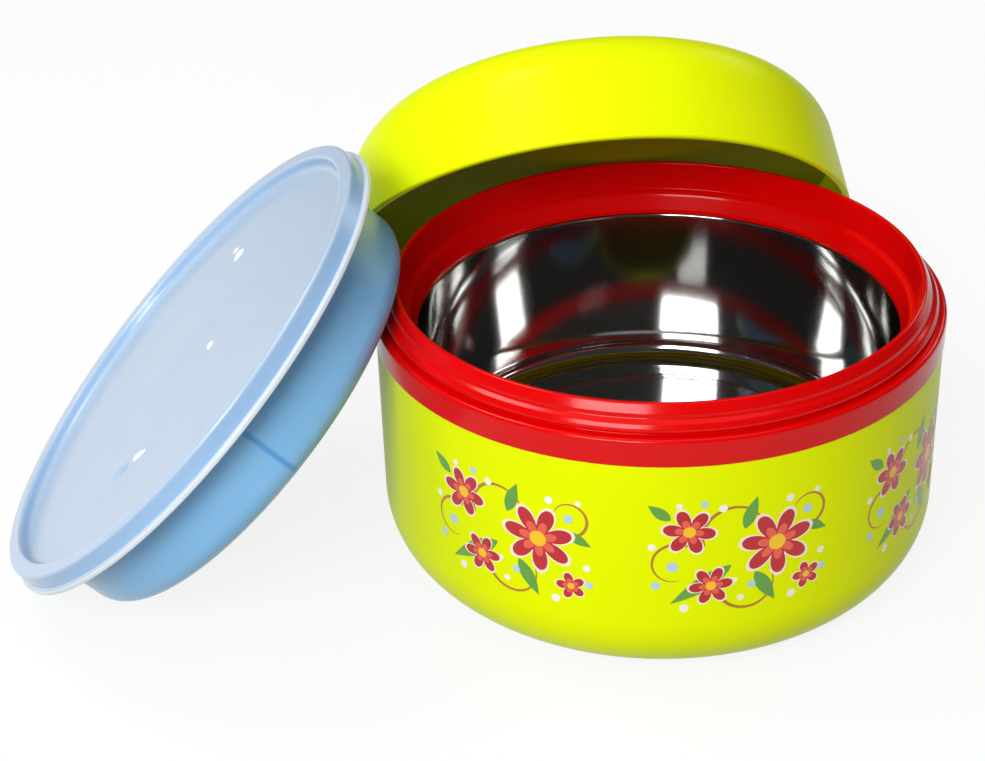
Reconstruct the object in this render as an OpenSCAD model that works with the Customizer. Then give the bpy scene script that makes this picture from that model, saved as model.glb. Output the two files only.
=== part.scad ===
// Insulated serving pot with a lift-off lid and an inner tray, shown opened:
// the lid leans over the rear of the collar and the covered tray leans on its left.
// The pot stands on z = 0 with its axis on Z, and its front faces -Y.

/* [Outer shell] */
// Outside diameter of the pot's plastic shell
shell_d = 149.4; // [130:0.2:170]
// Height of the shell from the table to the collar
shell_h = 66.4; // [58:0.2:76]
// Radius of the rounded lower edge of the shell
shell_corner_r = 20; // [14:0.5:24]
// Wall of the shell
shell_wall = 2.6; // [2.4:0.1:3]
// Gap left above the shell's thinned rim inside the collar
spigot_gap = 0.8; // [0.4:0.1:2]
// Depth of the recess inside the foot ring
foot_recess = 1.2; // [1.2:0.1:2]
// Width of the foot ring
foot_ring_w = 5; // [3:0.5:10]
// Diameter of the holes that the foam is filled through
fill_hole_d = 9; // [6:0.5:12]

/* [Collar] */
// How far the collar's band stands out past the shell
band_overhang = 0.3; // [0.1:0.1:0.6]
// Height of the collar's band above the shell
band_h = 7.4; // [6.4:0.2:9]
// Wall of the collar's band
band_wall = 1.6; // [1.2:0.1:1.8]
// Height of the neck above the collar's band
neck_h = 6.9; // [6.2:0.1:9]
// How far the neck lies in from the band
neck_inset = 4.7; // [4.4:0.1:5.2]
// Wall of the neck at its top
neck_wall = 2; // [2:0.1:2.4]
// How far the bead that the lid fits over lies in from the band
bead_inset = 2.2; // [2.2:0.1:2.6]
// Height of the bead
bead_h = 2.8; // [2.2:0.2:3]
// How far the ledge inside the neck starts in from the neck's outside
ledge_inset = 3.4; // [2.8:0.1:4]
// Depth of the ledge below the top of the neck
ledge_drop = 8.3; // [7:0.1:9]
// Width of the ledge inside the neck
ledge_w = 1.5; // [1:0.1:1.8]
// How far the collar's lower lip lies in from the neck's outside
mouth_inset = 6.7; // [6:0.1:7.4]

/* [Steel bowl] */
// Height of the bowl's floor above the table
bowl_lift = 20; // [14:0.5:26]
// Thickness of the steel sheet
steel_t = 0.6; // [0.4:0.1:0.8]
// Inside radius between the bowl's wall and floor
bowl_corner_r = 5; // [4:0.5:8]
// How much the bowl's radius shrinks from mouth to floor
bowl_draft = 0.7; // [0:0.1:2]
// Width of the lip that the collar holds
bowl_lip_w = 4.3; // [3:0.1:5]
// Width of the flat ring round the raised disc in the floor
floor_ring_w = 7.8; // [4:0.2:20]
// Height of the raised disc pressed into the floor
floor_disc_h = 0.5; // [0.2:0.1:1]
// How much higher the disc's middle stands than its edge
disc_crown = 1.9; // [0.4:0.1:3]

/* [Lid] */
// Height of the lid above its liner
lid_dome_h = 19.2; // [16:0.2:24]
// Height of the lid's side between its liner and its rounded edge
lid_side_h = 0.9; // [0.4:0.1:4]
// Draft of the lid's side, in degrees
lid_draft = 6.7; // [5:0.1:6.9]
// Wall of the skirt below the liner
skirt_wall = 1.7; // [1.4:0.1:1.7]
// Wall of the lid above the liner
lid_wall = 2.7; // [2.4:0.1:3.2]
// Depth of the open hollow under the lid
lid_cavity = 17; // [16:0.2:17.6]
// Thickness of the liner that closes the foam in
liner_t = 1.6; // [1.2:0.1:1.8]

/* [Tray] */
// How far the tray's rim stands out past its wall
tray_rim_w = 6; // [5.6:0.1:7.6]
// Depth of the tray below its rim
tray_depth = 21.5; // [17:0.5:26]
// Wall of the tray
tray_wall = 1.5; // [1.2:0.1:1.8]
// Radius of the tray's rounded lower edge
tray_corner_r = 6.2; // [4:0.2:8]
// How much the tray's radius shrinks from rim to floor
tray_draft = 0.2; // [0:0.1:1]
// Thickness of the dividing wall in the tray
divider_t = 1.5; // [1:0.1:2.5]
// Gap between the top of the dividing wall and the tray's rim
divider_drop = 3; // [1:0.2:8]

/* [Tray lid] */
// How far the snap lid's flange lies in from the pot lid's rim
tray_lid_inset = 3; // [3:0.1:4]
// Width of the snap lid's flange
flange_w = 1.2; // [0.6:0.1:1.4]
// Height of the snap lid
tray_lid_h = 6.2; // [5.4:0.1:7]
// Wall of the snap lid
tray_lid_wall = 1.1; // [0.9:0.1:1.2]
// Thickness of the snap lid's flange
tray_flange_t = 1.4; // [0.8:0.1:1.6]
// How far the wall round the sunken panel leans in
panel_lean = 1; // [0.4:0.1:1.6]

/* [Standing places] */
// Share of the lid's width that lies below the height of the neck
lid_lean_share = 0.733; // [0.7:0.001:0.78]
// Direction that the leaning lid's top faces, in degrees
lid_azimuth = 99; // [97:0.1:101]
// Direction of the leaning lid's centre from the pot, in degrees
lid_bearing = 104.4; // [103:0.1:106]
// Share of the tray's width that lies below the height of the neck
tray_lean_share = 0.909; // [0.886:0.001:0.935]
// Direction that the leaning tray's top faces, in degrees
tray_azimuth = 187.2; // [186:0.1:189]
// Direction of the leaning tray's centre from the pot, in degrees
tray_bearing = 186.2; // [185.4:0.1:187]
// Turn of the tray about its own axis, in degrees
tray_turn = 21.5; // [-90:0.5:90]
// Gap left where two loose pieces meet
rest_gap = 0.3; // [0.2:0.05:0.5]

/* [Hidden] */
$fn = 96;
arc_steps = 8;

lime = [0.90, 0.98, 0.02];
foam_cream = [0.93, 0.86, 0.66];
steel_grey = [0.75, 0.76, 0.78];
collar_red = [0.80, 0.02, 0.02];
plug_green = [0.72, 0.80, 0.05];
tray_blue = [0.40, 0.66, 0.86, 0.75];
frosted_white = [0.80, 0.86, 0.93, 0.55];

// Clearances between the pieces of one body
foam_gap = 0.1;
slip_gap = 0.1;
plug_gap = 0.05;

// Outer shell
shell_r = shell_d / 2;
shell_in_r = shell_r - shell_wall;
foot_r = shell_r - shell_corner_r;
foot_in_r = foot_r - foot_ring_w;
foot_step_w = 1;
recess_r = foot_in_r - foot_step_w;
shell_floor_top = foot_recess + shell_wall;

// Collar
collar_r = shell_r + band_overhang;
band_in_r = collar_r - band_wall;
band_top = shell_h + band_h;
band_edge_r = 0.8;
shoulder_t = 1.8;
spigot_r = band_in_r - slip_gap;
spigot_h = band_h - shoulder_t - spigot_gap;
neck_r = collar_r - neck_inset;
neck_top = band_top + neck_h;
neck_edge_r = 1.3;
neck_lip_r = 0.6;
neck_in_r = neck_r - neck_wall;
bead_round_r = bead_h / 2;
bead_spread = 60;
bead_centre_r = collar_r - bead_inset - bead_round_r;
bead_lift = 0.4;
bead_z = band_top + bead_lift + bead_round_r * sin(bead_spread);
bead_end_r = bead_centre_r + bead_round_r * cos(bead_spread);
bead_end_z = bead_z + bead_round_r * sin(bead_spread);
neck_fillet_r = bead_end_r - neck_r;
ledge_r = neck_r - ledge_inset;
ledge_z = neck_top - ledge_drop;
ledge_fall = 0.5;
mouth_r = neck_r - mouth_inset;
lip_land = 1.2;
leg_t = 2.2;

// Steel bowl
bowl_top = shell_h - slip_gap;
bowl_r = mouth_r + slip_gap;
bowl_low_r = bowl_r - bowl_draft;
bowl_floor = bowl_lift;
bowl_floor_r = bowl_low_r - bowl_corner_r;
bowl_corner_z = bowl_floor + bowl_corner_r;
disc_z = bowl_floor + floor_disc_h;
disc_slope_w = 1.2;
floor_disc_r = bowl_floor_r - floor_ring_w - disc_slope_w;
lip_r = bowl_r + bowl_lip_w;
lip_drop = 2.2;
lip_end_z = bowl_top - lip_drop;

// Foam between the shell and the steel bowl
foam_skin = steel_t + foam_gap;
foam_top = lip_end_z - foam_gap;

// Plugs that close the filling holes
fill_hole_r = fill_hole_d / 2;
plug_head_w = 2;
plug_head_t = 0.95;
plug_shank_r = fill_hole_r - plug_gap;
plug_snap_w = 0.3;
plug_snap_h = 1.2;
plug_nose_w = 0.6;
pocket_gap = 0.7;
pocket_r = fill_hole_r + pocket_gap;
pocket_h = plug_snap_h + pocket_gap;

// Lid, with its rim on z = 0 and its top upwards
lid_r = collar_r;
lid_edge_r = 0.7;
lid_corner_r = lid_dome_h - lid_side_h;
lid_h = lid_cavity + liner_t + lid_dome_h;
lid_corner_z = lid_h - lid_corner_r;
lid_corner_c = lid_r - (lid_corner_r + (lid_corner_z - lid_edge_r) * sin(lid_draft)) / cos(lid_draft);
liner_top = lid_cavity + liner_t;
lid_ledge_z = liner_top + slip_gap;
liner_r = lid_side_r(skirt_wall, lid_ledge_z) - slip_gap;

// Tray lid, with the underside of its flange on z = 0
flange_r = lid_r - tray_lid_inset;
cap_r = flange_r - flange_w;
cap_draft = 0.4;
cap_edge_r = 0.8;
cap_top_r = cap_r - cap_draft;
ring_under_z = tray_lid_h - tray_lid_wall;
panel_under_z = tray_wall + rest_gap;
panel_top_z = panel_under_z + tray_lid_wall;

// Tray, in the same place as its lid and with its mouth upwards
tray_rim_r = cap_top_r - tray_lid_wall - rest_gap;
tray_rim_in_r = tray_rim_r - tray_wall;
tray_rim_h = ring_under_z - rest_gap;
tray_r = tray_rim_r - tray_rim_w;
tray_low_r = tray_r - tray_draft;
tray_corner_c = tray_low_r - tray_corner_r;
tray_corner_z = tray_corner_r - tray_depth;

// Wall round the lid's sunken panel, which plugs into the tray's upright edge
plug_wall_r = tray_rim_in_r - rest_gap;
plug_wall_in_r = plug_wall_r - tray_lid_wall;

// Places of the leaning lid and tray
lid_tilt = asin(neck_top / (2 * lid_r * lid_lean_share));
tray_tilt = asin(neck_top / (2 * tray_r * tray_lean_share));
lid_rise = (lid_r - lid_edge_r) * sin(lid_tilt) - lid_edge_r * cos(lid_tilt) + lid_edge_r;
lid_reach = (pot_support(lid_tilt) + rest_gap - lid_cavity - lid_rise * cos(lid_tilt))
            / (sin(lid_tilt) * cos(lid_bearing - lid_azimuth));
tray_rise = tray_corner_c * sin(tray_tilt) - tray_corner_z * cos(tray_tilt) + tray_corner_r;
tray_reach = (pot_support(tray_tilt) + rest_gap + tray_depth - tray_rise * cos(tray_tilt))
             / (sin(tray_tilt) * cos(tray_bearing - tray_azimuth));

// Points along an arc in the profile plane
function arc(centre_r, centre_z, radius, from, to) =
    [for (i = [0:arc_steps])
        [centre_r + radius * cos(from + (to - from) * i / arc_steps),
         centre_z + radius * sin(from + (to - from) * i / arc_steps)]];

// Points of the crowned disc in the bowl's floor, from its edge in to the axis, less a drop
function crowned(drop) =
    [for (i = [arc_steps:-1:0])
        [floor_disc_r * i / arc_steps, disc_z - drop + disc_crown * (1 - pow(i / arc_steps, 2))]];

// Radius of the lid's drafted side at a height, measured in from the outside by a wall
function lid_side_r(wall, z) = lid_r - wall / cos(lid_draft) - (z - lid_edge_r) * tan(lid_draft);

// Furthest reach of the pot along a direction tilted from vertical
function pot_support(tilt) =
    max((neck_r - neck_edge_r) * sin(tilt) + (neck_top - neck_edge_r) * cos(tilt) + neck_edge_r,
        collar_r * sin(tilt) + band_top * cos(tilt));

outer_shell();
shell_foam();
inner_bowl();
collar();
base_plug();
lid_shell();
lid_foam();
lid_liner();
lid_plug();
tray();
tray_lid();

// Moulded outer bowl with a foot ring and a thinned rim
module outer_shell() {
    color(lime)
    rotate_extrude()
    polygon(concat(
        [[fill_hole_r, foot_recess], [recess_r, foot_recess], [foot_in_r, 0]],
        arc(foot_r, shell_corner_r, shell_corner_r, -90, 0),
        [[shell_r, shell_h], [spigot_r, shell_h],
         [spigot_r, shell_h + spigot_h], [shell_in_r, shell_h + spigot_h]],
        arc(foot_r, shell_corner_r, shell_corner_r - shell_wall, 0, -90),
        [[foot_in_r, shell_wall], [recess_r, shell_floor_top], [fill_hole_r, shell_floor_top]]));
}

// Insulating foam between the shell and the steel bowl
module shell_foam() {
    color(foam_cream)
    rotate_extrude()
    polygon(concat(
        [[0, shell_floor_top + pocket_h], [pocket_r, shell_floor_top + pocket_h],
         [pocket_r, shell_floor_top + foam_gap], [recess_r, shell_floor_top + foam_gap],
         [foot_in_r, shell_wall + foam_gap]],
        arc(foot_r, shell_corner_r, shell_corner_r - shell_wall - foam_gap, -90, 0),
        [[shell_in_r - foam_gap, foam_top], [bowl_r + foam_skin, foam_top]],
        arc(bowl_floor_r, bowl_corner_z, bowl_corner_r + foam_skin, 0, -90),
        [[floor_disc_r + disc_slope_w, bowl_floor - foam_skin]],
        crowned(foam_skin)));
}

// Pressed steel bowl with a lip that the collar holds
module inner_bowl() {
    color(steel_grey)
    rotate_extrude()
    polygon(concat(
        [for (i = [0:arc_steps]) crowned(0)[arc_steps - i]],
        [[floor_disc_r + disc_slope_w, bowl_floor]],
        arc(bowl_floor_r, bowl_corner_z, bowl_corner_r, -90, 0),
        [[bowl_r, bowl_top], [lip_r, bowl_top], [lip_r, lip_end_z],
         [lip_r - steel_t, lip_end_z], [lip_r - steel_t, bowl_top - steel_t],
         [bowl_r + steel_t, bowl_top - steel_t]],
        arc(bowl_floor_r, bowl_corner_z, bowl_corner_r + steel_t, 0, -90),
        [[floor_disc_r + disc_slope_w, bowl_floor - steel_t]],
        crowned(steel_t)));
}

// Moulded collar with a band, a bead and a neck
module collar() {
    color(collar_red)
    rotate_extrude()
    polygon(concat(
        [[band_in_r, shell_h + slip_gap], [collar_r, shell_h + slip_gap]],
        arc(collar_r - band_edge_r, band_top - band_edge_r, band_edge_r, 0, 90),
        [[bead_end_r, band_top]],
        arc(bead_centre_r, bead_z, bead_round_r, -bead_spread, bead_spread),
        arc(bead_end_r, bead_end_z + neck_fillet_r, neck_fillet_r, 270, 180),
        arc(neck_r - neck_edge_r, neck_top - neck_edge_r, neck_edge_r, 0, 90),
        arc(neck_in_r + neck_lip_r, neck_top - neck_lip_r, neck_lip_r, 90, 180),
        [[ledge_r, ledge_z + ledge_fall], [ledge_r - ledge_w, ledge_z],
         [mouth_r, shell_h + slip_gap + lip_land], [mouth_r, shell_h + slip_gap],
         [mouth_r + leg_t, shell_h + slip_gap], [ledge_r - ledge_w + leg_t, ledge_z - leg_t],
         [ledge_r + leg_t, band_top - shoulder_t], [band_in_r, band_top - shoulder_t]]));
}

// Push-in plug with its head below z = 0 and a snap ring above the wall
module fill_plug(wall) {
    rotate_extrude()
    polygon([[0, -plug_gap - plug_head_t],
             [fill_hole_r + plug_head_w, -plug_gap - plug_head_t],
             [fill_hole_r + plug_head_w, -plug_gap],
             [plug_shank_r, -plug_gap],
             [plug_shank_r, wall + plug_gap],
             [plug_shank_r + plug_snap_w, wall + plug_gap],
             [plug_shank_r - plug_nose_w, wall + plug_snap_h],
             [0, wall + plug_snap_h]]);
}

module base_plug() {
    color(plug_green)
    translate([0, 0, foot_recess])
    fill_plug(shell_wall);
}

// Puts a piece drawn on the Z axis into its leaning place
module lean(reach, rise, bearing, azimuth, tilt, turn) {
    translate([reach * cos(bearing), reach * sin(bearing), rise])
    rotate([0, 0, azimuth])
    rotate([0, tilt, 0])
    rotate([0, 0, turn])
    children();
}

module lean_lid() {
    lean(lid_reach, lid_rise, lid_bearing, lid_azimuth, lid_tilt, 0)
    children();
}

module lean_tray() {
    lean(tray_reach, tray_rise, tray_bearing, tray_azimuth, tray_tilt, tray_turn)
    children();
}

// Moulded lid with a thin skirt and a step that the liner seats against
module lid_shell() {
    color(lime)
    lean_lid()
    rotate_extrude()
    polygon(concat(
        [[lid_side_r(skirt_wall, 0), 0]],
        arc(lid_r - lid_edge_r, lid_edge_r, lid_edge_r, -90, 0),
        arc(lid_corner_c, lid_corner_z, lid_corner_r, lid_draft, 90),
        [[0, lid_h], [0, lid_h - lid_wall]],
        arc(lid_corner_c, lid_corner_z, lid_corner_r - lid_wall, 90, lid_draft),
        [[lid_side_r(lid_wall, lid_ledge_z), lid_ledge_z],
         [lid_side_r(skirt_wall, lid_ledge_z), lid_ledge_z]]));
}

// Insulating foam inside the lid
module lid_foam() {
    color(foam_cream)
    lean_lid()
    rotate_extrude()
    polygon(concat(
        [[0, liner_top + pocket_h], [pocket_r, liner_top + pocket_h],
         [pocket_r, lid_ledge_z], [lid_side_r(lid_wall + foam_gap, lid_ledge_z), lid_ledge_z]],
        arc(lid_corner_c, lid_corner_z, lid_corner_r - lid_wall - foam_gap, lid_draft, 90),
        [[0, lid_h - lid_wall - foam_gap]]));
}

// Disc that closes the foam in under the lid
module lid_liner() {
    color(lime)
    lean_lid()
    rotate_extrude()
    polygon([[fill_hole_r, lid_cavity], [liner_r, lid_cavity],
             [liner_r, liner_top], [fill_hole_r, liner_top]]);
}

module lid_plug() {
    color(plug_green)
    lean_lid()
    translate([0, 0, lid_cavity])
    fill_plug(liner_t);
}

// Tray with a rim, an upright edge and one dividing wall
module tray() {
    color(tray_blue)
    lean_tray()
    union() {
        rotate_extrude()
        polygon(concat(
            [[0, -tray_depth]],
            arc(tray_corner_c, tray_corner_z, tray_corner_r, -90, 0),
            [[tray_r, 0], [tray_rim_r, 0], [tray_rim_r, tray_rim_h],
             [tray_rim_in_r, tray_rim_h], [tray_rim_in_r, tray_wall],
             [tray_r - tray_wall, tray_wall]],
            arc(tray_corner_c, tray_corner_z, tray_corner_r - tray_wall, 0, -90),
            [[0, tray_wall - tray_depth]]));
        intersection() {
            rotate_extrude()
            polygon(concat(
                [[0, tray_wall / 2 - tray_depth]],
                arc(tray_corner_c, tray_corner_z, tray_corner_r - tray_wall / 2, -90, 0),
                [[tray_r - tray_wall / 2, 0], [0, 0]]));
            translate([-divider_t / 2, -tray_r, -tray_depth])
            cube([divider_t, 2 * tray_r, tray_depth - divider_drop]);
        }
    }
}

// Snap lid with a flange, a raised ring over the tray's edge and a sunken panel
module tray_lid() {
    color(frosted_white)
    lean_tray()
    rotate_extrude()
    polygon(concat(
        [[cap_r - tray_lid_wall, 0], [flange_r, 0], [flange_r, tray_flange_t],
         [cap_r, tray_flange_t]],
        arc(cap_top_r - cap_edge_r, tray_lid_h - cap_edge_r, cap_edge_r, 0, 90),
        arc(plug_wall_in_r + cap_edge_r, tray_lid_h - cap_edge_r, cap_edge_r, 90, 180),
        [[plug_wall_in_r - panel_lean, panel_top_z], [0, panel_top_z], [0, panel_under_z],
         [plug_wall_r - panel_lean, panel_under_z], [plug_wall_r, ring_under_z],
         [cap_top_r - tray_lid_wall, ring_under_z]]));
}
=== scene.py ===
import math

import bmesh
import bpy
import numpy as np
from mathutils import Matrix, Vector


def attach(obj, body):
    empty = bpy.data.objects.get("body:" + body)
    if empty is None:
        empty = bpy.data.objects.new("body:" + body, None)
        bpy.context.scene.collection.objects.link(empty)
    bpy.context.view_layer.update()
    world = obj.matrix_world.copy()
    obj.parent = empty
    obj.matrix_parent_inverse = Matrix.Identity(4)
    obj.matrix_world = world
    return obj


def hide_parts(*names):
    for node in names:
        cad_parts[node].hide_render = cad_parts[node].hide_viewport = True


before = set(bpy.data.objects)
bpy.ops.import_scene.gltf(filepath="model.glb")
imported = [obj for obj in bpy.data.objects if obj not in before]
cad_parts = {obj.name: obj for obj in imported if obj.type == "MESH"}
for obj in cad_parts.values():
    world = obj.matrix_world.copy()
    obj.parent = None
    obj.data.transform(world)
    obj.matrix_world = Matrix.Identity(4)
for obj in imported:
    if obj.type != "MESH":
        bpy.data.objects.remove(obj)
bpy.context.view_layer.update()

# Camera
# A long lens stands in front of the pot and looks 30 degrees down on the table. The picture is
# 985 pixels wide and the focal length is 2001.6 pixels, which is 73 mm on a 36 mm sensor.
picture_width, focal_length, sensor_width = 985.0, 2001.6, 36.0
camera_data = bpy.data.cameras.new("camera")
camera_data.sensor_width = sensor_width
camera_data.lens = focal_length * sensor_width / picture_width
camera_data.clip_start = 0.01
camera_data.clip_end = 20.0
camera = bpy.data.objects.new("camera", camera_data)
bpy.context.scene.collection.objects.link(camera)
camera_place = Vector((0.0, -0.47069, 0.319325))
camera_right = Vector((0.99660563, 0.07634019, -0.03081234))
camera_up = Vector((-0.01163797, 0.50117061, 0.86527024))
camera_forward = Vector((-0.08149714, 0.86197459, -0.50035789))
camera.matrix_world = Matrix.Translation(camera_place) @ Matrix(
    (camera_right, camera_up, -camera_forward)).transposed().to_4x4()
bpy.context.scene.camera = camera

# Outer shell
# The outer bowl is one injection moulding in glossy lime polypropylene, with a foot ring
# under it and a thinned rim that enters the collar. It is turned from its own section.


def filleted(corners):
    """Closed outline through corners (r, z, fillet) in mm. A fillet is an arc that touches both
    sides: it starts fillet / tan(half the corner) away from the corner and is turned evenly about
    its centre. A support point follows each arc, so that flat faces next to it shade flat."""
    points = []
    for i, (r, z, fillet) in enumerate(corners):
        corner = np.array([r, z], float)
        back = np.array(corners[i - 1][:2], float) - corner
        ahead = np.array(corners[(i + 1) % len(corners)][:2], float) - corner
        if fillet == 0:
            points.append(corner)
            continue
        back_room, ahead_room = np.linalg.norm(back), np.linalg.norm(ahead)
        back, ahead = back / back_room, ahead / ahead_room
        half = math.acos(np.clip(back @ ahead, -1, 1)) / 2
        reach = fillet / math.tan(half)
        centre = corner + (back + ahead) / np.linalg.norm(back + ahead) * fillet / math.sin(half)
        sweep = math.pi - 2 * half
        degrees_apart = 2.5 if fillet > 4 else 9
        steps = max(4, int(math.degrees(sweep) / degrees_apart))
        t = np.linspace(0, 1, steps + 1)[:, None]
        start, end = corner + back * reach - centre, corner + ahead * reach - centre
        arc = (np.sin((1 - t) * sweep) * start + np.sin(t * sweep) * end) / math.sin(sweep) + centre
        support = min(0.3, 0.15 * fillet + 0.05)
        if back_room - reach > 3 * support:
            points.append(arc[0] + back * support)
        points.extend(arc)
        if ahead_room - reach > 3 * support:
            points.append(arc[-1] + ahead * support)
    return np.array(points)


def grid_faces(rows, columns, rows_close, columns_close):
    """Quads of a grid of points, row by row: each joins a point with the next one in its row and
    with both of those in the next row. A closing direction joins its last line to its first."""
    row = np.arange(rows if rows_close else rows - 1)[:, None]
    column = np.arange(columns if columns_close else columns - 1)
    next_row, next_column = (row + 1) % rows, (column + 1) % columns
    return np.stack([row * columns + column, row * columns + next_column,
                     next_row * columns + next_column, next_row * columns + column],
                    axis=-1).reshape(-1, 4)


def turned(outline, turns=240):
    """Points and faces of an outline (r, z) turned about the axis: x is r cos a, y is r sin a,
    with a in even steps. Rows that lie on the axis are left out, so that a pole closes."""
    a = np.linspace(0, 2 * math.pi, turns, endpoint=False)
    r, z = outline[:, :1], outline[:, 1:]
    points = np.stack([r * np.cos(a), r * np.sin(a), z + 0 * a], axis=-1).reshape(-1, 3)
    faces = grid_faces(len(outline), turns, True, True).reshape(len(outline), -1, 4)
    on_axis = (outline[:, 0] < 1e-6) & (np.roll(outline[:, 0], -1) < 1e-6)
    return points, faces[~on_axis].reshape(-1, 4)


def make_piece(name, points, faces, body, slot, material, nodes=(), closed=True):
    """One mesh from points in mm in the CAD model's frame. Doubles are merged, a closed shell's
    faces are turned outwards, and edges sharper than 35 degrees stay crisp."""
    double_distance, crisp_angle = 2e-6, math.radians(35)
    mesh = bpy.data.meshes.new(name)
    mesh.from_pydata((np.asarray(points) / 1000).tolist(), [], np.asarray(faces).tolist())
    shell = bmesh.new()
    shell.from_mesh(mesh)
    bmesh.ops.remove_doubles(shell, verts=shell.verts, dist=double_distance)
    if closed:
        bmesh.ops.recalc_face_normals(shell, faces=shell.faces)
    shell.to_mesh(mesh)
    shell.free()
    mesh.shade_smooth()
    mesh.set_sharp_from_angle(angle=crisp_angle)
    piece = bpy.data.objects.new(name, mesh)
    bpy.context.scene.collection.objects.link(piece)
    mesh.materials.append(material)
    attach(piece, body)
    if nodes:
        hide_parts(*nodes)


def linear(hex_colour):
    """Linear RGBA of an sRGB hex colour, by the sRGB curve."""
    srgb = np.array([int(hex_colour[i:i + 2], 16) for i in (0, 2, 4)]) / 255
    flat = np.where(srgb <= 0.04045, srgb / 12.92, ((srgb + 0.055) / 1.055) ** 2.4)
    return [*flat.tolist(), 1.0]


def add(tree, kind, inputs=None, **settings):
    """Adds a node with its settings, and links or sets its inputs."""
    made = tree.nodes.new(kind)
    for name, value in settings.items():
        setattr(made, name, value)
    for name, value in (inputs or {}).items():
        if isinstance(value, bpy.types.NodeSocket):
            tree.links.new(value, made.inputs[name])
        else:
            made.inputs[name].default_value = value
    return made


def bare_tree(owner):
    """Empty node tree of a material or a world."""
    owner.use_nodes = True
    owner.node_tree.nodes.clear()
    return owner.node_tree


def moulded_plastic(name, colour, shade, roughness, tint=None, **sockets):
    """Injection-moulded plastic. Its colour drifts a little between two shades over about 30 mm.
    The skin of a polished mould is almost flat: a 1.5 mm peel some microns deep breaks up its
    highlights. A tint, where given, is a function that adds nodes over the colour."""
    drift_scale, peel_scale, peel_depth = 33.0, 650.0, 0.00001
    material = bpy.data.materials.new(name)
    tree = bare_tree(material)
    place = add(tree, "ShaderNodeTexCoord").outputs["Object"]
    drift = add(tree, "ShaderNodeTexNoise", {"Vector": place, "Scale": drift_scale, "Detail": 2.0})
    skin_colour = add(tree, "ShaderNodeMix", {"Factor": drift.outputs["Fac"], 6: linear(colour),
                                              7: linear(shade)}, data_type="RGBA").outputs[2]
    if tint:
        skin_colour = tint(tree, place, skin_colour)
    peel = add(tree, "ShaderNodeTexNoise", {"Vector": place, "Scale": peel_scale, "Detail": 1.0})
    gloss = add(tree, "ShaderNodeMapRange", {"Value": peel.outputs["Fac"],
                                             "To Min": roughness * 0.9, "To Max": roughness * 1.1})
    skin = add(tree, "ShaderNodeBump", {"Height": peel.outputs["Fac"], "Strength": 0.15,
                                        "Distance": peel_depth})
    shader = add(tree, "ShaderNodeBsdfPrincipled", {
        "Base Color": skin_colour, "Roughness": gloss.outputs["Result"],
        "Normal": skin.outputs["Normal"], "IOR": 1.49, **sockets})
    add(tree, "ShaderNodeOutputMaterial", {"Surface": shader.outputs["BSDF"]})
    return material


lime_pp = moulded_plastic("lime_polypropylene_moulded", "EEFC00", "E6F600", 0.32,
                          **{"Specular IOR Level": 0.06})
shell_outline = filleted([
    (4.5, 1.2, 0), (48.7, 1.2, 0.3), (49.7, 0, 0.5), (74.7, 0, 20), (74.7, 66.4, 0.3),
    (73.3, 66.4, 0), (73.3, 71.2, 0.2), (72.1, 71.2, 0.2), (72.1, 2.6, 17.4), (49.7, 2.6, 0),
    (48.7, 3.8, 0), (4.5, 3.8, 0)])
make_piece("outer_shell_moulding", *turned(shell_outline), "pot", "shell_plastic", lime_pp,
           ["outer_shell"])

# Flower print
# The shell carries a heat-transfer print in seven sprays: red daisies with gold curls, green
# leaves, and white and blue dots. Each colour is a film, hundredths of a millimetre proud.
print_r, print_z = 74.7, 40.5
spray_count, first_spray, spray_step = 7, -29.5, 45.5


def flower(x, y, radius, petals, turn, waist=0.34):
    """A flower on a grid of s and t: s runs from its centre to its edge, t once round. The edge
    swells once for each petal, as a rounded cosine, and falls to the waist share between them."""
    s = np.linspace(0, 1, 5)[:, None]
    t = np.linspace(0, 2 * math.pi, 20 * petals, endpoint=False)
    swell = np.abs(np.cos(petals * (t - turn) / 2)) ** 0.75
    reach = s * radius * (waist + (1 - waist) * swell)
    return np.stack([x + reach * np.cos(t), y + reach * np.sin(t)], axis=-1), True


def leaf(base, tip, width):
    """A leaf on a grid of t and s: t runs from base to tip and s from side to side. It is width
    times the sine of the share of the way to each side, and sharper towards the tip."""
    t = np.linspace(0, 1, 22)[:, None, None]
    s = np.linspace(-1, 1, 5)[:, None]
    base, along = np.array(base, float), np.subtract(tip, base)
    side = np.array([-along[1], along[0]]) / np.linalg.norm(along)
    return base + t * along + side * s * width * np.sin(math.pi * t ** 0.8), False


def curl(x, y, radius, start, end, width):
    """A curling stem on a grid of t and s: t runs round its centre from start to end in degrees,
    while its radius falls by a quarter. s runs across its width, which falls to nothing."""
    t = np.linspace(0, 1, 36)[:, None]
    s = np.linspace(-1, 1, 3)
    a = np.radians(start + t * (end - start))
    reach = radius * (1 - 0.25 * t) + s * width / 2 * (1 - t) ** 0.6
    return np.stack([x + reach * np.cos(a), y + reach * np.sin(a)], axis=-1), False


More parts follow.
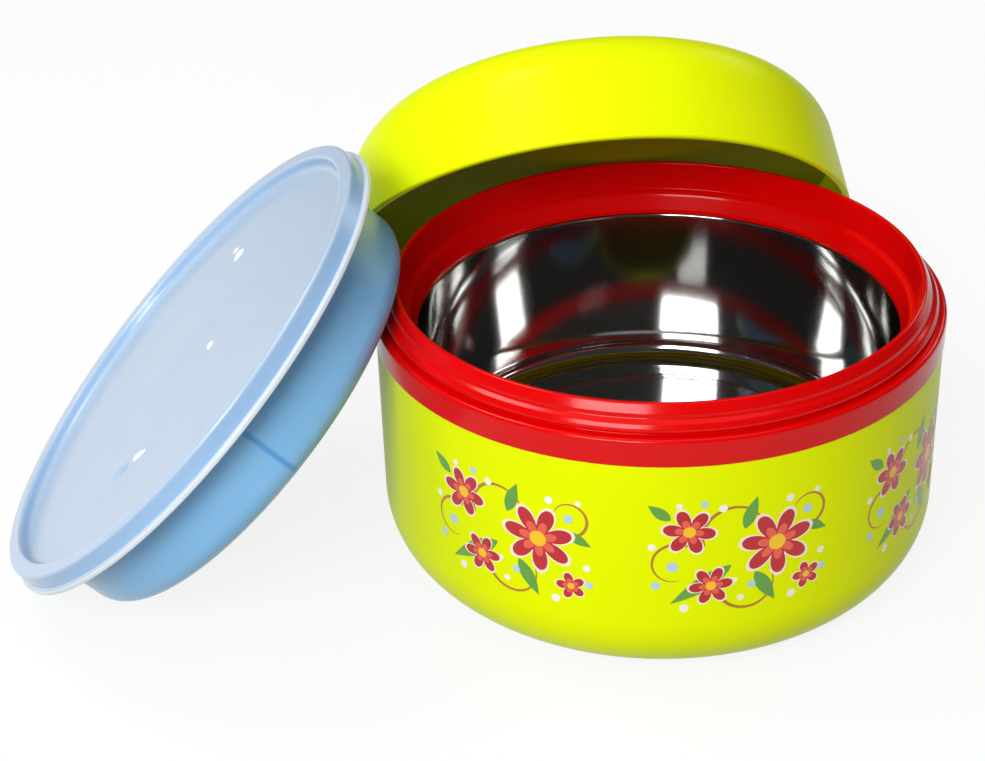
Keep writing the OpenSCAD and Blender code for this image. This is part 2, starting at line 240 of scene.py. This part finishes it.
def print_film(name, colour, shade, shapes, lift):
    """A film of flat shapes laid round the shell, lift mm proud: sideways mm become an angle about
    the axis, upwards mm a height. The spray is repeated at even steps round the pot."""
    points, faces, count = [], [], 0
    spray = np.radians(first_spray + spray_step * np.arange(spray_count))
    for grid, closes in shapes:
        a = spray[:, None, None] + grid[..., 0] / print_r
        r = print_r + lift
        points.append(np.stack([r * np.sin(a), -r * np.cos(a), print_z + grid[..., 1] + 0 * a],
                               axis=-1).reshape(-1, 3))
        quads = grid_faces(*grid.shape[:2], False, closes)
        copies = np.arange(spray_count)[:, None, None] * grid[..., 0].size
        faces.append((quads + copies).reshape(-1, 4) + count)
        count += grid[..., 0].size * spray_count
    film = moulded_plastic("printed_film_" + name, colour, shade, 0.3)
    points, faces = np.concatenate(points), np.concatenate(faces)
    across = np.cross(points[faces[:, 1]] - points[faces[:, 0]],
                      points[faces[:, 3]] - points[faces[:, 1]])
    inwards = (across[:, :2] * points[faces[:, 0], :2]).sum(axis=1) < 0
    faces[inwards] = faces[inwards, ::-1]
    make_piece("print_" + name, points, faces, "pot", "shell_plastic", film, closed=False)


daisies = [(9.5, 1.5, 9.2, 7, 0.3), (-12.5, 7.5, 6.4, 6, 0.9), (-7.0, -8.5, 5.4, 6, 0.1),
           (18.0, -10.5, 3.8, 5, 0.6)]
print_film("gold_curls", "C98A2B", "A86A1E", [
    curl(-1.0, 6.0, 8.6, 200, -20, 1.1), curl(2.5, -9.0, 8.0, 170, 400, 1.1),
    curl(-16.0, -2.0, 6.2, 60, 290, 0.9), curl(17.5, 9.0, 5.0, -60, 170, 0.9)], 0.02)
print_film("green_leaves", "4D8F33", "6DAA3E", [
    leaf((-2.0, -3.0), (-17.0, -13.5), 2.2), leaf((4.0, -6.0), (9.5, -15.5), 1.9),
    leaf((1.0, 7.0), (4.0, 15.8), 1.7), leaf((-17.0, 11.0), (-22.5, 15.2), 1.5),
    leaf((17.0, 5.0), (23.2, 1.8), 1.4)], 0.035)
print_film("white_dots", "FFFDF0", "F2F0DC", [
    flower(x, y, r, 5, 0.0, 0.93) for x, y, r in (
        (-4.5, 13.6, 1.1), (-21.5, 3.2, 1.0), (-13.5, -14.8, 1.2), (0.5, -13.0, 0.9),
        (14.0, -15.0, 1.2), (22.0, -4.6, 1.0), (12.5, 13.4, 1.1), (20.0, 13.8, 0.8),
        (-15.0, 15.0, 0.8), (-1.2, -7.6, 0.8))], 0.05)
print_film("pale_blue_dots", "C3DEE8", "AFCFDD", [
    flower(x, y, r, 5, 0.0, 0.93) for x, y, r in (
        (-16.5, -2.5, 1.5), (17.5, 9.0, 1.3), (3.2, -9.5, 1.1), (-20.5, -8.0, 1.2),
        (-9.0, 15.2, 1.0), (22.5, -9.5, 1.1))], 0.05)
print_film("white_petal_edges", "FFF4E2", "F6E6CC", [
    flower(x, y, r * 1.1, n, t, 0.42) for x, y, r, n, t in daisies], 0.06)
print_film("red_petals", "CF1F2B", "A8101E", [
    flower(x, y, r, n, t) for x, y, r, n, t in daisies], 0.075)
print_film("coral_petal_hearts", "EE6A4C", "E4503C", [
    flower(x, y, r * 0.56, n, t) for x, y, r, n, t in daisies], 0.09)
print_film("yellow_eyes", "FFD21E", "F7B90C", [
    flower(x, y, r * 0.24, 5, 0.0, 0.95) for x, y, r, n, t in daisies], 0.105)

# Foam in the shell and the lid
# Cream polyurethane foam is poured between the shell and the steel bowl, and between the lid and
# its liner, and sets there. It stays hidden, so the CAD solids keep their own meshes.


def set_foam(name):
    """Rigid foam with 0.6 mm cells, which mottle its colour and pit its skin."""
    cell_scale, pit_depth = 1600.0, 0.0003
    material = bpy.data.materials.new(name)
    tree = bare_tree(material)
    place = add(tree, "ShaderNodeTexCoord").outputs["Object"]
    cells = add(tree, "ShaderNodeTexVoronoi", {"Vector": place, "Scale": cell_scale})
    mottle = add(tree, "ShaderNodeMix", {"Factor": cells.outputs["Distance"], 6: linear("E9DBB4"),
                                         7: linear("D8C595")}, data_type="RGBA")
    pits = add(tree, "ShaderNodeBump", {"Height": cells.outputs["Distance"], "Strength": 0.4,
                                        "Distance": pit_depth})
    shader = add(tree, "ShaderNodeBsdfPrincipled", {
        "Base Color": mottle.outputs[2], "Roughness": 0.9, "Normal": pits.outputs["Normal"]})
    add(tree, "ShaderNodeOutputMaterial", {"Surface": shader.outputs["BSDF"]})
    return material


cream_foam = set_foam("polyurethane_foam_poured")
for foam_node in ("shell_foam", "lid_foam"):
    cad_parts[foam_node].data.materials.clear()
    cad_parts[foam_node].data.materials.append(cream_foam)

# Steel bowl
# The food bowl is pressed from 0.6 mm stainless sheet and polished to a mirror on a lathe, which
# leaves hair-fine rings round it. A shallow disc is pressed into its floor.
bowl_outline = filleted([
    (49, 20.5, 1.2), (50.2, 20, 1.2), (63.0, 20, 5), (63.7, 66.3, 0.6), (68, 66.3, 0.5),
    (68, 64.1, 0.1), (67.4, 64.1, 0.1), (67.4, 65.7, 0), (64.3, 65.7, 0), (63.6, 19.4, 5.6),
    (50.2, 19.4, 1), (49, 19.9, 1), (24, 20.6, 0), (24, 21.2, 0)])
# The disc stands 1.9 mm higher at its middle: z falls with the square of the radius. Its rows
# take the place of the outline's last two points.
sheet, disc_z, disc_rise, disc_edge = 0.6, 20.5, 1.9, 49
disc_r = np.linspace(0, 47, 25)[:, None]
disc_top = np.concatenate([disc_r, disc_z + disc_rise * (1 - (disc_r / disc_edge) ** 2)], axis=1)
bowl_outline = np.concatenate([(disc_top - [0, sheet])[::-1], disc_top, bowl_outline[:-2]])
polished_steel = bpy.data.materials.new("stainless_steel_lathe_polished")
steel_tree = bare_tree(polished_steel)
steel_place = add(steel_tree, "ShaderNodeTexCoord").outputs["Object"]
# Rings 0.8 mm apart are drawn, coarser than real polishing marks, so that they show.
steel_rings = add(steel_tree, "ShaderNodeTexWave", {
    "Vector": steel_place, "Scale": 390.0, "Distortion": 1.5, "Detail": 2.0},
    wave_type="RINGS", rings_direction="Z")
steel_drift = add(steel_tree, "ShaderNodeTexNoise", {"Vector": steel_place, "Scale": 45.0})
steel_gloss = add(steel_tree, "ShaderNodeMapRange", {
    "Value": steel_drift.outputs["Fac"], "To Min": 0.05, "To Max": 0.11})
steel_skin = add(steel_tree, "ShaderNodeBump", {
    "Height": steel_rings.outputs["Fac"], "Strength": 0.02, "Distance": 0.00005})
steel_shade = add(steel_tree, "ShaderNodeMix", {
    "Factor": steel_drift.outputs["Fac"], 6: linear("C2C2C0"), 7: linear("B6B6B5")},
    data_type="RGBA")
steel_shader = add(steel_tree, "ShaderNodeBsdfPrincipled", {
    "Base Color": steel_shade.outputs[2], "Metallic": 1.0,
    "Roughness": steel_gloss.outputs["Result"], "Normal": steel_skin.outputs["Normal"]})
add(steel_tree, "ShaderNodeOutputMaterial", {"Surface": steel_shader.outputs["BSDF"]})
make_piece("steel_bowl_pressing", *turned(bowl_outline), "pot", "steel", polished_steel,
           ["inner_bowl"])

# Collar
# The red collar is moulded in polypropylene. Its band sits on the shell, its bead holds the lid
# and its neck stands above the steel bowl, with a ledge that runs round inside it.
red_pp = moulded_plastic("red_polypropylene_moulded", "E00202", "D20203", 0.15,
                         **{"Specular IOR Level": 0.22})
collar_outline = filleted([
    (73.4, 66.5, 0), (75, 66.5, 0.3), (75, 73.8, 1.0), (72.1, 73.8, 0.15), (72.1, 74.2, 0.1),
    (72.85, 74.7, 0.35), (72.85, 75.4, 0.8), (72.2, 76.55, 0.8), (70.8, 77.4, 0.8),
    (70.75, 78.35, 0.9), (69.35, 80.7, 0.65), (68.3, 80.7, 0.55), (66.9, 72.9, 0.4),
    (65.4, 72.4, 2.0), (63.6, 67.7, 0.4), (63.6, 66.5, 0.15), (65.8, 66.5, 0.15), (67.6, 70.2, 0),
    (69.1, 72, 0), (73.4, 72, 0)])
make_piece("collar_moulding", *turned(collar_outline), "pot", "collar_plastic", red_pp, ["collar"])

# Foam plugs
# Two small push-in plugs close the holes that the foam is poured through, one under the pot and
# one under the lid. They are moulded in a duller green, with a satin skin.
plug_pp = moulded_plastic("green_polypropylene_plug", "B4C40E", "A8B80A", 0.42)
for plug_node in ("base_plug", "lid_plug"):
    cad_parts[plug_node].data.materials.clear()
    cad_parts[plug_node].data.materials.append(plug_pp)

# Lid
# The lid is a domed lime moulding with a skirt that fits over the collar's bead. A flat disc
# welded inside it closes the foam in. It leans over the back of the collar.


def leaning(azimuth, tilt, turn=0.0):
    """Turn of a piece from its own axis to its leaning one, in degrees: about its axis, then over
    by its tilt about Y, then about Z to its azimuth."""
    return np.array(Matrix.Rotation(math.radians(azimuth), 3, "Z")
                    @ Matrix.Rotation(math.radians(tilt), 3, "Y")
                    @ Matrix.Rotation(math.radians(turn), 3, "Z"))


def carried(points, lean, reach, rise, bearing):
    """Points in mm leant over, then moved out by reach along a bearing in degrees, and up."""
    way = math.radians(bearing)
    return points @ lean.T + [reach * math.cos(way), reach * math.sin(way), rise]


lid_lean = leaning(99.0, 47.220253)
lid_place = dict(lean=lid_lean, reach=71.135985, rise=54.758543, bearing=104.4)
# The lid's radius is 75 mm at 0.7 mm above its rim, and falls by the draft for each mm of height.
# A leaning wall's width across is its thickness times the run.
lid_r, draft_angle, rim_wall, dome_wall = 75, math.radians(6.7), 1.7, 2.7
draft, draft_run = math.tan(draft_angle), 1 / math.cos(draft_angle)
lid_outline = filleted([
    (lid_r - rim_wall * draft_run + 0.7 * draft, 0, 0.3), (lid_r + 0.7 * draft, 0, 0.75),
    (lid_r - 37.1 * draft, 37.8, 18.3), (0, 37.8, 0), (0, 35.1, 0),
    (lid_r - dome_wall * draft_run - 34.4 * draft, 35.1, 15.6),
    (lid_r - dome_wall * draft_run - 18.0 * draft, 18.7, 0),
    (lid_r - rim_wall * draft_run - 18.0 * draft, 18.7, 0)])
lid_points, lid_faces = turned(lid_outline)
make_piece("lid_moulding", carried(lid_points, **lid_place), lid_faces, "lid", "shell_plastic",
           lime_pp, ["lid_shell"])
liner_outline = filleted([(4.5, 17, 0.15), (71.07, 17, 0.3), (71.07, 18.6, 0.1), (4.5, 18.6, 0.1)])
liner_points, liner_faces = turned(liner_outline)
# The lime disc is painted a deeper olive, with a duller skin: painted shade that keeps it dark
# under the lid.
painted_shade_disc_pp = moulded_plastic("lime_polypropylene_disc_painted_shade", "9EA005", "929404", 0.5,
                           **{"Specular IOR Level": 0.02})
make_piece("lid_liner_disc", carried(liner_points, **lid_place), liner_faces, "lid",
           "shell_plastic", painted_shade_disc_pp, ["lid_liner"])

# Tray
# The inner tray is moulded in translucent sky-blue polypropylene. It has a rolled-out rim with an
# upright edge that its lid snaps over, and one wall that divides it and shows as a deeper line.
tray_lean = leaning(187.2, 44.796775, 21.5)
tray_place = dict(lean=tray_lean, reach=124.426619, rise=56.937075, bearing=186.2)
tray_corner = carried(np.zeros(3), **tray_place) / 1000


def on_tray(tree, place):
    """Node output with the tray's own coordinates in metres: z is its axis, and its wall is on
    x = 0."""
    return add(tree, "ShaderNodeMapping", {
        "Vector": place, "Location": tray_corner.tolist(),
        "Rotation": Matrix(tray_lean.tolist()).to_euler("XYZ")}, vector_type="TEXTURE").outputs[0]


def wall_line(tree, place, colour):
    """Deepens the blue near the dividing wall's plane, by a share of 0.8 that falls to nothing
    between 0.3 and 1.1 mm off it, and at the wall's top, 3 mm under the flange."""
    apart = add(tree, "ShaderNodeSeparateXYZ", {0: on_tray(tree, place)})
    off_wall = add(tree, "ShaderNodeMath", {0: apart.outputs["X"]}, operation="ABSOLUTE")
    near = add(tree, "ShaderNodeMapRange", {"Value": off_wall.outputs[0], "From Min": 0.0003,
                                            "From Max": 0.0011, "To Min": 0.8, "To Max": 0.0})
    under_top = add(tree, "ShaderNodeMapRange", {
        "Value": apart.outputs["Z"], "From Min": -0.0036, "From Max": -0.0026, "To Min": 1.0,
        "To Max": 0.0})
    share = add(tree, "ShaderNodeMath", {0: near.outputs[0], 1: under_top.outputs[0]},
                operation="MULTIPLY")
    return add(tree, "ShaderNodeMix", {"Factor": share.outputs[0], 6: colour, 7: linear("4AA0E6")},
               data_type="RGBA").outputs[2]


blue_pp = moulded_plastic("blue_polypropylene_translucent", "92CEFE", "88C7FA", 0.25, wall_line,
                          **{"Transmission Weight": 0.15, "Subsurface Weight": 0.3,
                             "Subsurface Radius": (1.0, 1.0, 1.0), "Subsurface Scale": 0.003})
tray_outline = filleted([
    (0, -21.5, 0), (62.8, -21.5, 6.2), (63, 0, 0.4), (69.0, 0, 0.4), (69.0, 4.8, 0.6),
    (67.5, 4.8, 0.6), (67.5, 1.5, 0.3), (61.5, 1.5, 0.5), (61.3, -20, 4.7), (0, -20, 0)])
tray_points, tray_faces = turned(tray_outline)
make_piece("tray_moulding", carried(tray_points, **tray_place), tray_faces, "tray", "tray_plastic",
           blue_pp, ["tray"])
# The dividing wall is 1.5 mm thick. Its side follows the tray's section into the floor. Its four
# rows are the middle and edge of one face, and the edge and middle of the other.
half_wall, wall_middle = 0.75, [0, -12]
wall_side = filleted([(0, -20.4, 0), (61.7, -20.4, 4.9), (61.7, -3, 0.3), (0, -3, 0)])
wall_side = wall_side[wall_side[:, 0] > 0]
wall_loop = np.concatenate([wall_side, (wall_side * [-1, 1])[::-1]])
wall_rows = np.stack([0 * wall_loop + wall_middle, wall_loop, wall_loop,
                      0 * wall_loop + wall_middle])
wall_x = np.broadcast_to(np.array([-half_wall, -half_wall, half_wall, half_wall])[:, None, None],
                         (4, len(wall_loop), 1))
wall_points = np.concatenate([wall_x, wall_rows], axis=-1).reshape(-1, 3)
make_piece("tray_dividing_wall", carried(wall_points, **tray_place),
           grid_faces(4, len(wall_loop), False, True), "tray", "tray_plastic", blue_pp)

# Tray lid
# The snap lid is thin frosty polypropylene. Its flange and raised ring go over the tray's upright
# edge, and its panel is sunk inside the ring. The edge's blue showing through the ring's sides is
# painted on, and the flange is painted near white, in part as a painted highlight.


def show_through_and_highlight_tint(tree, place, colour):
    """The ring, more than 65 mm from the axis, is a little bluer than the panel. Painted blue
    stands for the tray's upright edge showing through the ring's sides, under its crown. The flange
    below them, which nothing stands behind, is painted near white, in part as a painted highlight
    along it."""
    own = on_tray(tree, place)
    apart = add(tree, "ShaderNodeSeparateXYZ", {0: own})
    flat = add(tree, "ShaderNodeCombineXYZ", {0: apart.outputs["X"], 1: apart.outputs["Y"]})
    reach = add(tree, "ShaderNodeVectorMath", {0: flat.outputs[0]}, operation="LENGTH")
    outside = add(tree, "ShaderNodeMapRange", {"Value": reach.outputs["Value"],
                                               "From Min": 0.0649, "From Max": 0.0656})
    below = add(tree, "ShaderNodeMapRange", {"Value": apart.outputs["Z"], "From Min": 0.0048,
                                             "From Max": 0.0058, "To Min": 1.0, "To Max": 0.0})
    above = add(tree, "ShaderNodeMapRange", {"Value": apart.outputs["Z"], "From Min": 0.0013,
                                             "From Max": 0.0017})
    band = add(tree, "ShaderNodeMath", {0: outside.outputs[0], 1: below.outputs[0]},
               operation="MULTIPLY")
    share = add(tree, "ShaderNodeMath", {0: band.outputs[0], 1: above.outputs[0]},
                operation="MULTIPLY")
    ring = add(tree, "ShaderNodeMix", {"Factor": outside.outputs[0], 6: colour,
                                       7: linear("C2D7EF")}, data_type="RGBA")
    edge_show_through = add(tree, "ShaderNodeMix", {"Factor": share.outputs[0], 6: ring.outputs[2],
                                         7: linear("A6CBF2")}, data_type="RGBA")
    # The flange's near white is in part a painted highlight.
    flange = add(tree, "ShaderNodeMath", {0: outside.outputs[0], 1: above.outputs[0]},
                 operation="SUBTRACT", use_clamp=True)
    return add(tree, "ShaderNodeMix", {"Factor": flange.outputs[0], 6: edge_show_through.outputs[2],
                                       7: linear("EDF6FF")}, data_type="RGBA").outputs[2]


frosty_pp = moulded_plastic("frosty_polypropylene_snap_lid", "C7DBF1", "B9CFE8", 0.2, show_through_and_highlight_tint,
                            **{"Transmission Weight": 0.15, "Subsurface Weight": 0.2,
                               "Subsurface Radius": (1.0, 1.0, 1.0), "Subsurface Scale": 0.002})
snap_outline = filleted([
    (69.7, 0, 0.2), (72, 0, 0.4), (72, 1.4, 0.4), (70.8, 1.4, 0.3), (70.4, 6.2, 0.8),
    (66.1, 6.2, 0.8), (65.1, 2.9, 2.0), (0, 2.9, 0), (0, 1.8, 0), (66.2, 1.8, 0.3),
    (67.2, 5.1, 0.2), (69.3, 5.1, 0.2)])
snap_points, snap_faces = turned(snap_outline)
make_piece("tray_lid_moulding", carried(snap_points, **tray_place), snap_faces, "tray_lid",
           "clear_plastic", frosty_pp, ["tray_lid"])


def pips(name, places, material):
    """Low moulded pips on the panel. Each is a lens: its height falls with the square of the share
    of the way out, and it is stretched along one direction, given in degrees. Its edge sits
    0.05 mm into the panel."""
    rings, spokes, edge_z = 7, 32, 2.85
    t = np.linspace(2 * math.pi, 0, spokes, endpoint=False)
    s = np.linspace(0, 1, rings)[:, None]
    points, faces = [], []
    for x, y, length, width, turn, height in places:
        along, across = s * length * np.cos(t), s * width * np.sin(t)
        c, d = math.cos(math.radians(turn)), math.sin(math.radians(turn))
        points.append(np.stack([x + c * along - d * across, y + d * along + c * across,
                                edge_z + height * (1 - s ** 2) + 0 * along], axis=-1))
        faces.append(grid_faces(rings, spokes, False, True) + rings * spokes * len(faces))
    make_piece(name, carried(np.concatenate(points).reshape(-1, 3), **tray_place),
               np.concatenate(faces), "tray_lid", "clear_plastic", material, closed=False)


# The pips are painted near white as painted highlights, and the gate mark a deeper blue as painted
# shade.
pips("tray_lid_pips", (
    (-30.8, -24.6, 2.4, 1.5, 10, 0.8), (-31.1, -30.5, 1.3, 1.1, 0, 0.5),
    (-8.3, 10.8, 1.9, 1.3, 60, 0.6), (24.3, 23.3, 3.0, 1.3, -35, 0.7)),
    moulded_plastic("frosty_polypropylene_painted_highlight", "FFFFFF", "F6FAFF", 0.2))
pips("tray_lid_gate_mark", ((31.3, 19.1, 4.2, 2.8, -35, 0.25),),
     moulded_plastic("frosty_polypropylene_painted_shade", "A9C8EE", "A2C2EA", 0.3))

# Table
# A matt white table runs away on all sides. Its own white shows in the camera, metal and glass,
# mixed with its diffuse light so that soft shadows of the pieces stay on it.


def seen_directly(tree):
    """Node output that is 1 for rays from the camera, off metal or through glass, and else 0."""
    ray = add(tree, "ShaderNodeLightPath")
    camera_or_metal = add(tree, "ShaderNodeMath", {
        0: ray.outputs["Is Camera Ray"], 1: ray.outputs["Is Glossy Ray"]}, operation="MAXIMUM")
    return add(tree, "ShaderNodeMath", {
        0: camera_or_metal.outputs[0], 1: ray.outputs["Is Transmission Ray"]},
        operation="MAXIMUM").outputs[0]


white_share, table_reach, table_z = 0.86, 6, -0.0004
white_laminate = bpy.data.materials.new("white_laminate_matt")
table_tree = bare_tree(white_laminate)
table_seen = seen_directly(table_tree)
table_share = add(table_tree, "ShaderNodeMath", {0: table_seen, 1: white_share},
                  operation="MULTIPLY")
table_white = add(table_tree, "ShaderNodeEmission", {"Color": (1, 1, 1, 1), "Strength": 1.0})
# The pieces are lit from below as if by a grey table, because their undersides look dark.
table_colour = add(table_tree, "ShaderNodeMix", {"Factor": table_seen, 6: linear("9E9E9E"),
                                                 7: linear("FAFAFA")}, data_type="RGBA")
table_matt = add(table_tree, "ShaderNodeBsdfDiffuse", {"Color": table_colour.outputs[2]})
table_mix = add(table_tree, "ShaderNodeMixShader", {
    0: table_share.outputs[0], 1: table_matt.outputs[0], 2: table_white.outputs[0]})
add(table_tree, "ShaderNodeOutputMaterial", {"Surface": table_mix.outputs[0]})
table_mesh = bpy.data.meshes.new("table")
table_mesh.from_pydata([(x * table_reach, y * table_reach, table_z)
                        for x, y in ((-1, -1), (1, -1), (1, 1), (-1, 1))], [], [(0, 1, 2, 3)])
table = bpy.data.objects.new("table", table_mesh)
bpy.context.scene.collection.objects.link(table)
table_mesh.materials.append(white_laminate)

# Room and light
# The room is white. A ring of black boards, which only reflections see, darkens the polished
# steel. Three soft boxes light the pot: the key at its front left, a weak one at its back right
# and a high one at its left.
board_count, board_ring, board_top = 48, 1.9, 4.2
black_board = bpy.data.materials.new("black_board_matt")
board_tree = bare_tree(black_board)
board_matt = add(board_tree, "ShaderNodeEmission", {"Color": (1, 1, 1, 1), "Strength": 0.05})
add(board_tree, "ShaderNodeOutputMaterial", {"Surface": board_matt.outputs[0]})
board_turn = np.linspace(0, 2 * math.pi, board_count, endpoint=False)
board_points = np.stack([
    np.stack([board_ring * np.cos(board_turn), board_ring * np.sin(board_turn),
              0 * board_turn + z], axis=-1) for z in (0.0, board_top)])
board_mesh = bpy.data.meshes.new("black_boards")
board_mesh.from_pydata(board_points.reshape(-1, 3).tolist(), [],
                       grid_faces(2, board_count, False, True).tolist())
boards = bpy.data.objects.new("black_boards", board_mesh)
bpy.context.scene.collection.objects.link(boards)
board_mesh.materials.append(black_board)
boards.visible_camera = boards.visible_diffuse = boards.visible_transmission = False
boards.visible_shadow = boards.visible_volume_scatter = False

world = bpy.data.worlds.new("white_room")
bpy.context.scene.world = world
world_tree = bare_tree(world)
# Diffuse light falls off from the top left front of the room to its low right back.
sky_way = add(world_tree, "ShaderNodeVectorMath", {
    0: add(world_tree, "ShaderNodeTexCoord").outputs["Generated"], 1: (-0.65, -0.6, 0.45)},
    operation="DOT_PRODUCT")
sky_level = add(world_tree, "ShaderNodeMapRange", {
    "Value": sky_way.outputs["Value"], "From Min": -1.0, "From Max": 1.0, "To Min": 0.05,
    "To Max": 0.66})
glow = add(world_tree, "ShaderNodeMapRange", {
    "Value": seen_directly(world_tree), "To Min": sky_level.outputs[0], "To Max": 1.0})
room = add(world_tree, "ShaderNodeBackground", {"Color": (1, 1, 1, 1),
                                                "Strength": glow.outputs["Result"]})
add(world_tree, "ShaderNodeOutputWorld", {"Surface": room.outputs["Background"]})


def soft_box(name, azimuth, elevation, distance, width, height, power):
    """A soft box that looks at the pot's middle from an azimuth and an elevation in degrees. Its
    distance, width and height are in metres, and its power is in watts."""
    pot_middle = Vector((0, 0, 0.05))
    a, e = math.radians(azimuth), math.radians(elevation)
    way = Vector((math.cos(a) * math.cos(e), math.sin(a) * math.cos(e), math.sin(e)))
    light_data = bpy.data.lights.new(name, "AREA")
    light_data.shape = "RECTANGLE"
    light_data.size, light_data.size_y, light_data.energy = width, height, power
    light = bpy.data.objects.new(name, light_data)
    bpy.context.scene.collection.objects.link(light)
    light.location = pot_middle + way * distance
    light.rotation_mode = "QUATERNION"
    light.rotation_quaternion = (-way).to_track_quat("-Z", "Y")
    light.visible_camera = False


soft_box("key_box", -108.0, 33.3, 1.2, 0.54, 0.4, 9.2)
soft_box("back_box", 55.0, 28.5, 1.2, 0.5, 0.18, 0.9)
soft_box("left_box", 165.0, 60.0, 1.1, 0.3, 0.3, 2.8)

bpy.context.scene.view_settings.view_transform = "Standard"
